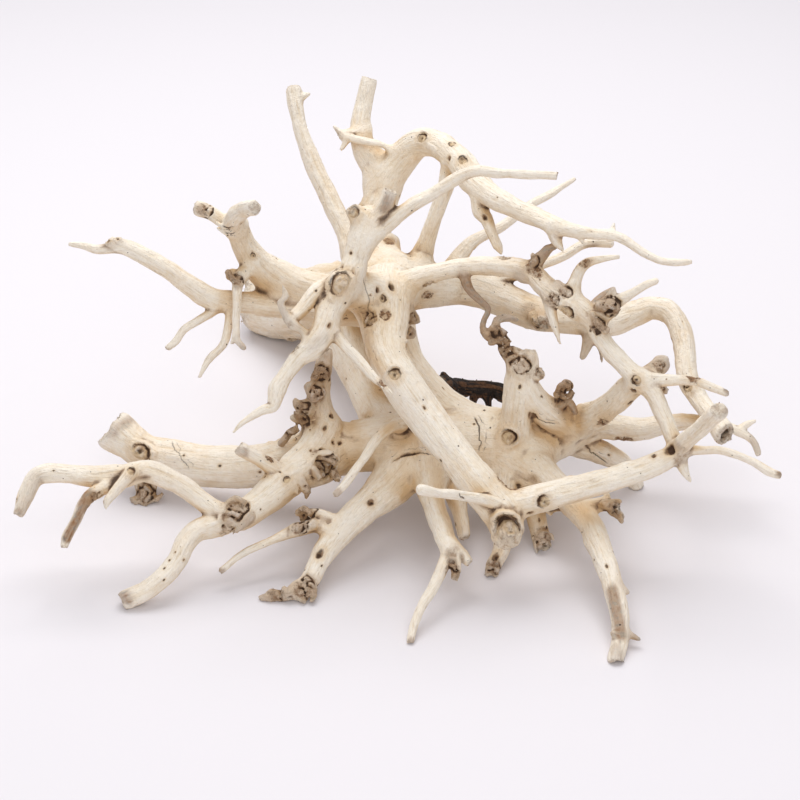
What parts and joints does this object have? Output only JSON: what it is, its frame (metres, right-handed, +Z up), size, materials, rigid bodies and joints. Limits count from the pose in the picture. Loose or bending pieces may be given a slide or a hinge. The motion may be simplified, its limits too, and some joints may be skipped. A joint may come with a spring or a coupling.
{
  "type": "driftwood root",
  "caption": "Bleached driftwood root in one piece: a bent trunk on spreading legs, with long curved branches, broken stubs and knots.",
  "frame": {"origin": "on the floor, under the middle of the root's box", "axes": "+Z up, +Y to the back, where the thick trunk end lies, +X to the right as seen from in front"},
  "size_m": [0.3575, 0.339, 0.176],
  "materials": {
    "bleached_wood": "dry, sun-bleached bare wood with fine grain and brown knots, matte"
  },
  "bodies": {
    "root": {"driftwood_root": "bleached_wood"}
  },
  "joints": []
}
